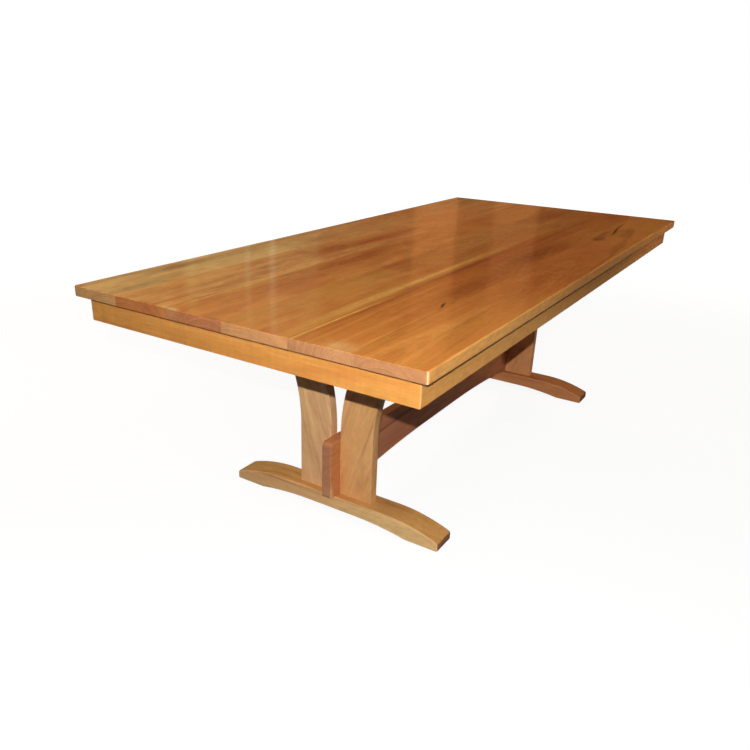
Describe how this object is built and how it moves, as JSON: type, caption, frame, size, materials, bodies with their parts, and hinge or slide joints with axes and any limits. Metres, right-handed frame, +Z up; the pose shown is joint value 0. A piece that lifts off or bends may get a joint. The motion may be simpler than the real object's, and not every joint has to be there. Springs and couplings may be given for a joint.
{
  "type": "pedestal dining table",
  "caption": "Solid timber dining table: glued-up board top on a mitred apron frame, carried by pedestals of paired curved posts on shaped feet, tied by a waisted through stretcher.",
  "frame": {"origin": "on the floor, under the middle of the top", "axes": "+X along the table's length, +Y across it, +Z up; the near end in the picture is at -X"},
  "size_m": [2.4, 1.1, 0.76],
  "materials": {
    "board_timber_1": "satin lacquer, straight tan grain",
    "board_timber_2": "satin lacquer, reddish streaks",
    "board_timber_3": "satin lacquer, amber grain",
    "board_timber_4": "satin lacquer, amber grain",
    "board_timber_5": "satin lacquer, warm brown with a small knot",
    "board_timber_6": "satin lacquer, honey grain with a swirl",
    "apron_timber": "satin lacquer, plain honey grain",
    "post_timber": "satin lacquer, pale tan grain",
    "foot_timber": "satin lacquer, tan grain",
    "stretcher_timber": "satin lacquer, red-brown grain",
    "hidden_timber": "sealed, not polished",
    "screw_steel": "zinc plated"
  },
  "bodies": {
    "root": {"apron_button_1": "hidden_timber", "apron_button_2": "hidden_timber", "apron_button_3": "hidden_timber", "apron_button_4": "hidden_timber", "apron_button_5": "hidden_timber", "apron_button_6": "hidden_timber", "apron_button_7": "hidden_timber", "apron_button_8": "hidden_timber", "apron_end_far": "apron_timber", "apron_end_near": "apron_timber", "apron_side_left": "apron_timber", "apron_side_right": "apron_timber", "batten_screw_1": "screw_steel", "batten_screw_2": "screw_steel", "batten_screw_3": "screw_steel", "batten_screw_4": "screw_steel", "batten_screw_5": "screw_steel", "batten_screw_6": "screw_steel", "bearer_far": "hidden_timber", "bearer_near": "hidden_timber", "bearer_screw_far_1": "screw_steel", "bearer_screw_far_2": "screw_steel", "bearer_screw_far_3": "screw_steel", "bearer_screw_far_4": "screw_steel", "bearer_screw_near_1": "screw_steel", "bearer_screw_near_2": "screw_steel", "bearer_screw_near_3": "screw_steel", "bearer_screw_near_4": "screw_steel", "button_screw_1": "screw_steel", "button_screw_2": "screw_steel", "button_screw_3": "screw_steel", "button_screw_4": "screw_steel", "button_screw_5": "screw_steel", "button_screw_6": "screw_steel", "button_screw_7": "screw_steel", "button_screw_8": "screw_steel", "centre_batten": "hidden_timber", "corner_block_far_left": "hidden_timber", "corner_block_far_right": "hidden_timber", "corner_block_near_left": "hidden_timber", "corner_block_near_right": "hidden_timber", "foot_far": "foot_timber", "foot_near": "foot_timber", "post_far_left": "post_timber", "post_far_right": "post_timber", "post_near_left": "post_timber", "post_near_right": "post_timber", "stretcher": "stretcher_timber", "stretcher_dowel_far_1": "hidden_timber", "stretcher_dowel_far_2": "hidden_timber", "stretcher_dowel_near_1": "hidden_timber", "stretcher_dowel_near_2": "hidden_timber", "top_board_1": "board_timber_1", "top_board_2": "board_timber_2", "top_board_3": "board_timber_3", "top_board_4": "board_timber_4", "top_board_5": "board_timber_5", "top_board_6": "board_timber_6"}
  },
  "joints": []
}
